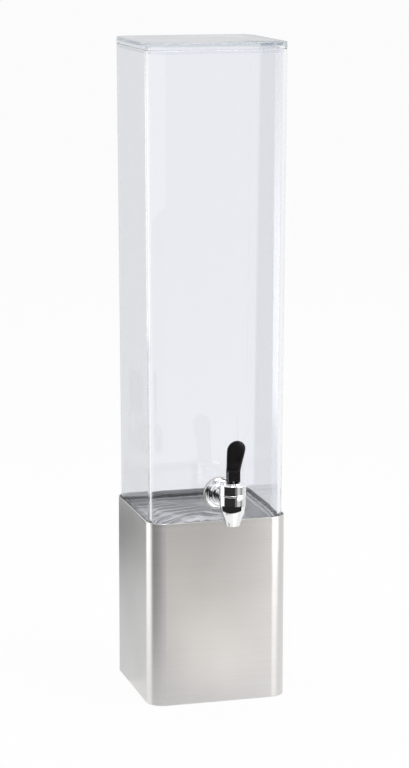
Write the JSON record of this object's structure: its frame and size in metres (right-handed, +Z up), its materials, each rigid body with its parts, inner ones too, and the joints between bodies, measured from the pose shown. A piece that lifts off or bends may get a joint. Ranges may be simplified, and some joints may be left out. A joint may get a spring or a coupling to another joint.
{
  "type": "beverage dispenser",
  "caption": "Tall square buffet beverage dispenser: clear tank with lift-off lid, standing in a brushed steel sleeve base, with a chrome lever tap on the front.",
  "frame": {"origin": "bottom centre of the whole part's bounding box, on the surface it stands on", "axes": "+Z up, +X to the right seen from the front, the tap points to -Y"},
  "size_m": [0.184, 0.2628, 0.848],
  "materials": {
    "brushed_steel": "horizontal brushed grain, satin",
    "plain_steel": "mill finish",
    "bright_steel": "bright drawn",
    "chrome": "polished chrome plate",
    "clear_acrylic": "clear, polished",
    "black_plastic": "moulded, semi-gloss",
    "black_rubber": "matte",
    "pale_silicone": "translucent, satin",
    "white_nylon": "moulded, satin"
  },
  "bodies": {
    "base": {"base_sleeve": "brushed_steel", "tank_shelf": "plain_steel", "seat_mat": "black_rubber", "corner_gusset_1": "plain_steel", "rubber_foot_1": "black_rubber", "foot_screw_1": "bright_steel", "foot_nut_1": "bright_steel", "corner_gusset_2": "plain_steel", "rubber_foot_2": "black_rubber", "foot_screw_2": "bright_steel", "foot_nut_2": "bright_steel", "corner_gusset_3": "plain_steel", "rubber_foot_3": "black_rubber", "foot_screw_3": "bright_steel", "foot_nut_3": "bright_steel", "corner_gusset_4": "plain_steel", "rubber_foot_4": "black_rubber", "foot_screw_4": "bright_steel", "foot_nut_4": "bright_steel"},
    "tank": {"tank": "clear_acrylic", "tap_body": "chrome", "bonnet": "chrome", "stem_seal": "pale_silicone", "stem_spring": "bright_steel", "escutcheon": "chrome", "outer_washer": "pale_silicone", "inner_washer": "pale_silicone", "shank_nut": "white_nylon"},
    "lid": {"lid": "clear_acrylic"},
    "stem": {"stem": "plain_steel", "seat_cup": "pale_silicone"},
    "handle": {"handle": "black_plastic", "handle_pin": "bright_steel"}
  },
  "joints": [
    {"name": "tank_lift", "type": "slide", "parent": "base", "child": "tank", "axis": [0, 0, 1], "range_m": [0, 0.15]},
    {"name": "lid_lift", "type": "slide", "parent": "tank", "child": "lid", "axis": [0, 0, 1], "range_m": [0, 0.15]},
    {"name": "stem_lift", "type": "slide", "parent": "tank", "child": "stem", "axis": [0, 0, 1], "range_m": [0, 0.00283], "deforming": ["stem_spring"]},
    {"name": "handle_tilt", "type": "hinge", "parent": "stem", "child": "handle", "pos_m": [0, -0.11112, 0.3117], "axis": [1, 0, 0], "range_deg": [0, 45], "stiffness_Nm_per_rad": 0.12, "springref_deg": -28.65}
  ],
  "couplings": [
    {"joint": "handle_tilt", "follows": "stem_lift", "rad_per_m": 277.78}
  ]
}
